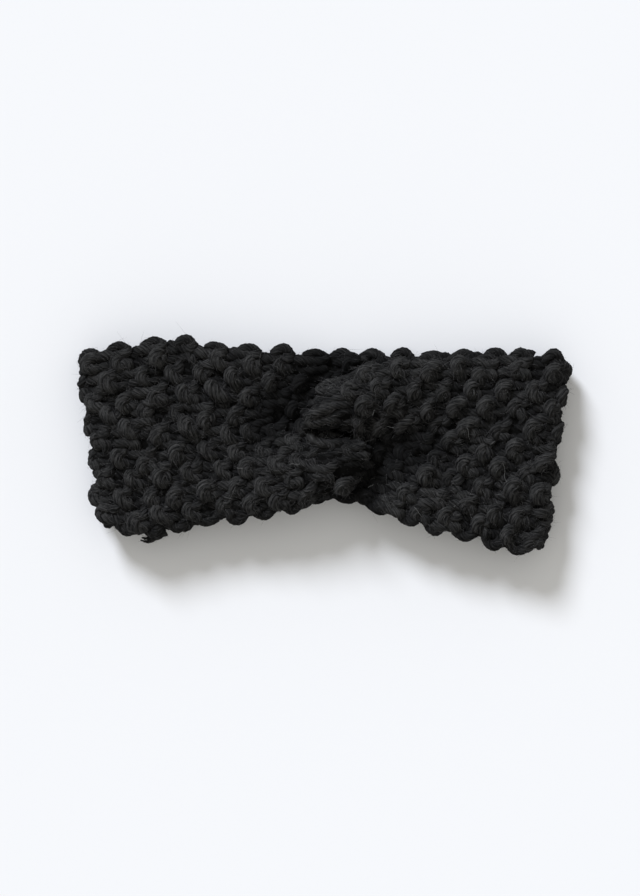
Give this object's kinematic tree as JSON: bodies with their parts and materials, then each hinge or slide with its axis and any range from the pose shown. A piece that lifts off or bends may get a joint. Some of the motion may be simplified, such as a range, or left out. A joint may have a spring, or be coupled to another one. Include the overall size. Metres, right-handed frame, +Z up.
{
  "type": "ear warmer headband",
  "caption": "Chunky seed-stitch knitted ear warmer headband, a wide soft loop lying flat as two layers, with an interlocked turban twist sewn at the front centre.",
  "frame": {"origin": "centre of the bounding box in plan, at the underside of the back layer that the headband rests on", "axes": "+X along the flat loop from the left fold to the right fold, +Y across the band towards its straighter top edge, +Z up through the front layer with the twist"},
  "size_m": [0.2458, 0.1082, 0.0308],
  "materials": {
    "black_knit": "chunky plied yarn in seed stitch, matt and slightly fuzzy",
    "sewing_yarn": "plied yarn",
    "tail_yarn": "plied yarn with a frayed tip"
  },
  "bodies": {
    "root": {"knit_strip": "black_knit", "centre_seam": "sewing_yarn", "yarn_end": "tail_yarn"}
  },
  "joints": []
}
